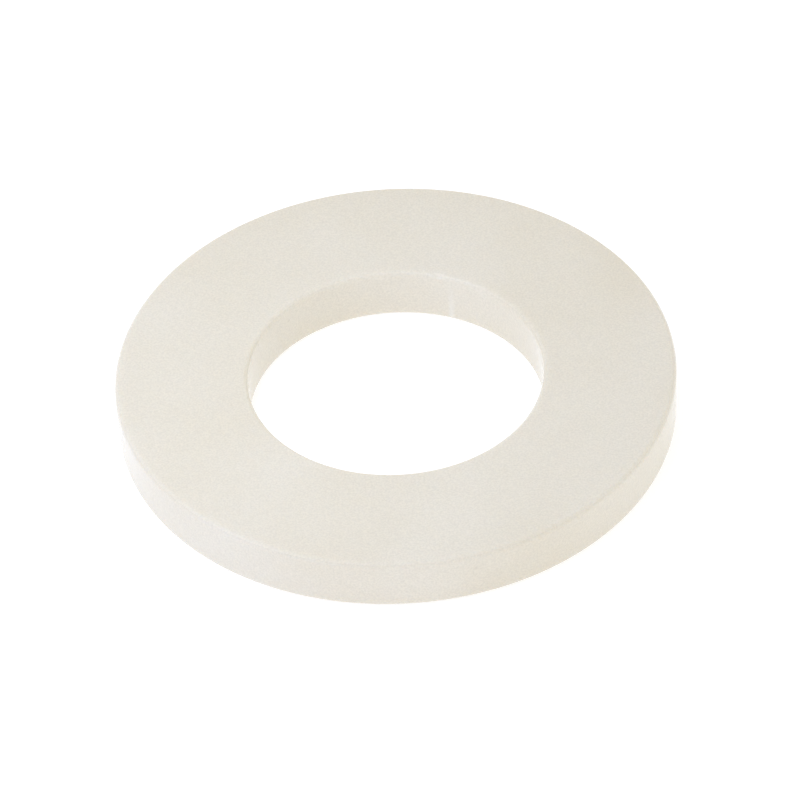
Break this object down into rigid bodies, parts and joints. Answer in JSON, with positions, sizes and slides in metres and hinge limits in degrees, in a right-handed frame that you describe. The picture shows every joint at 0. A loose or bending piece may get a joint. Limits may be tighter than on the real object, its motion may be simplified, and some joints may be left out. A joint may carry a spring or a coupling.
{
  "type": "flat washer",
  "caption": "Thick plain flat washer in translucent off-white nylon: a flat ring with a round clearance bore and softly rounded edges.",
  "frame": {"origin": "centre of the bore at the washer's underside", "axes": "+Z along the bore axis, from the underside up to the top face; the ring is the same all round, and the visual model's weld line is in the bore at 66 degrees from +X"},
  "size_m": [0.016, 0.016, 0.0016],
  "materials": {
    "nylon": "satin"
  },
  "bodies": {
    "root": {"flat_washer": "nylon"}
  },
  "joints": []
}
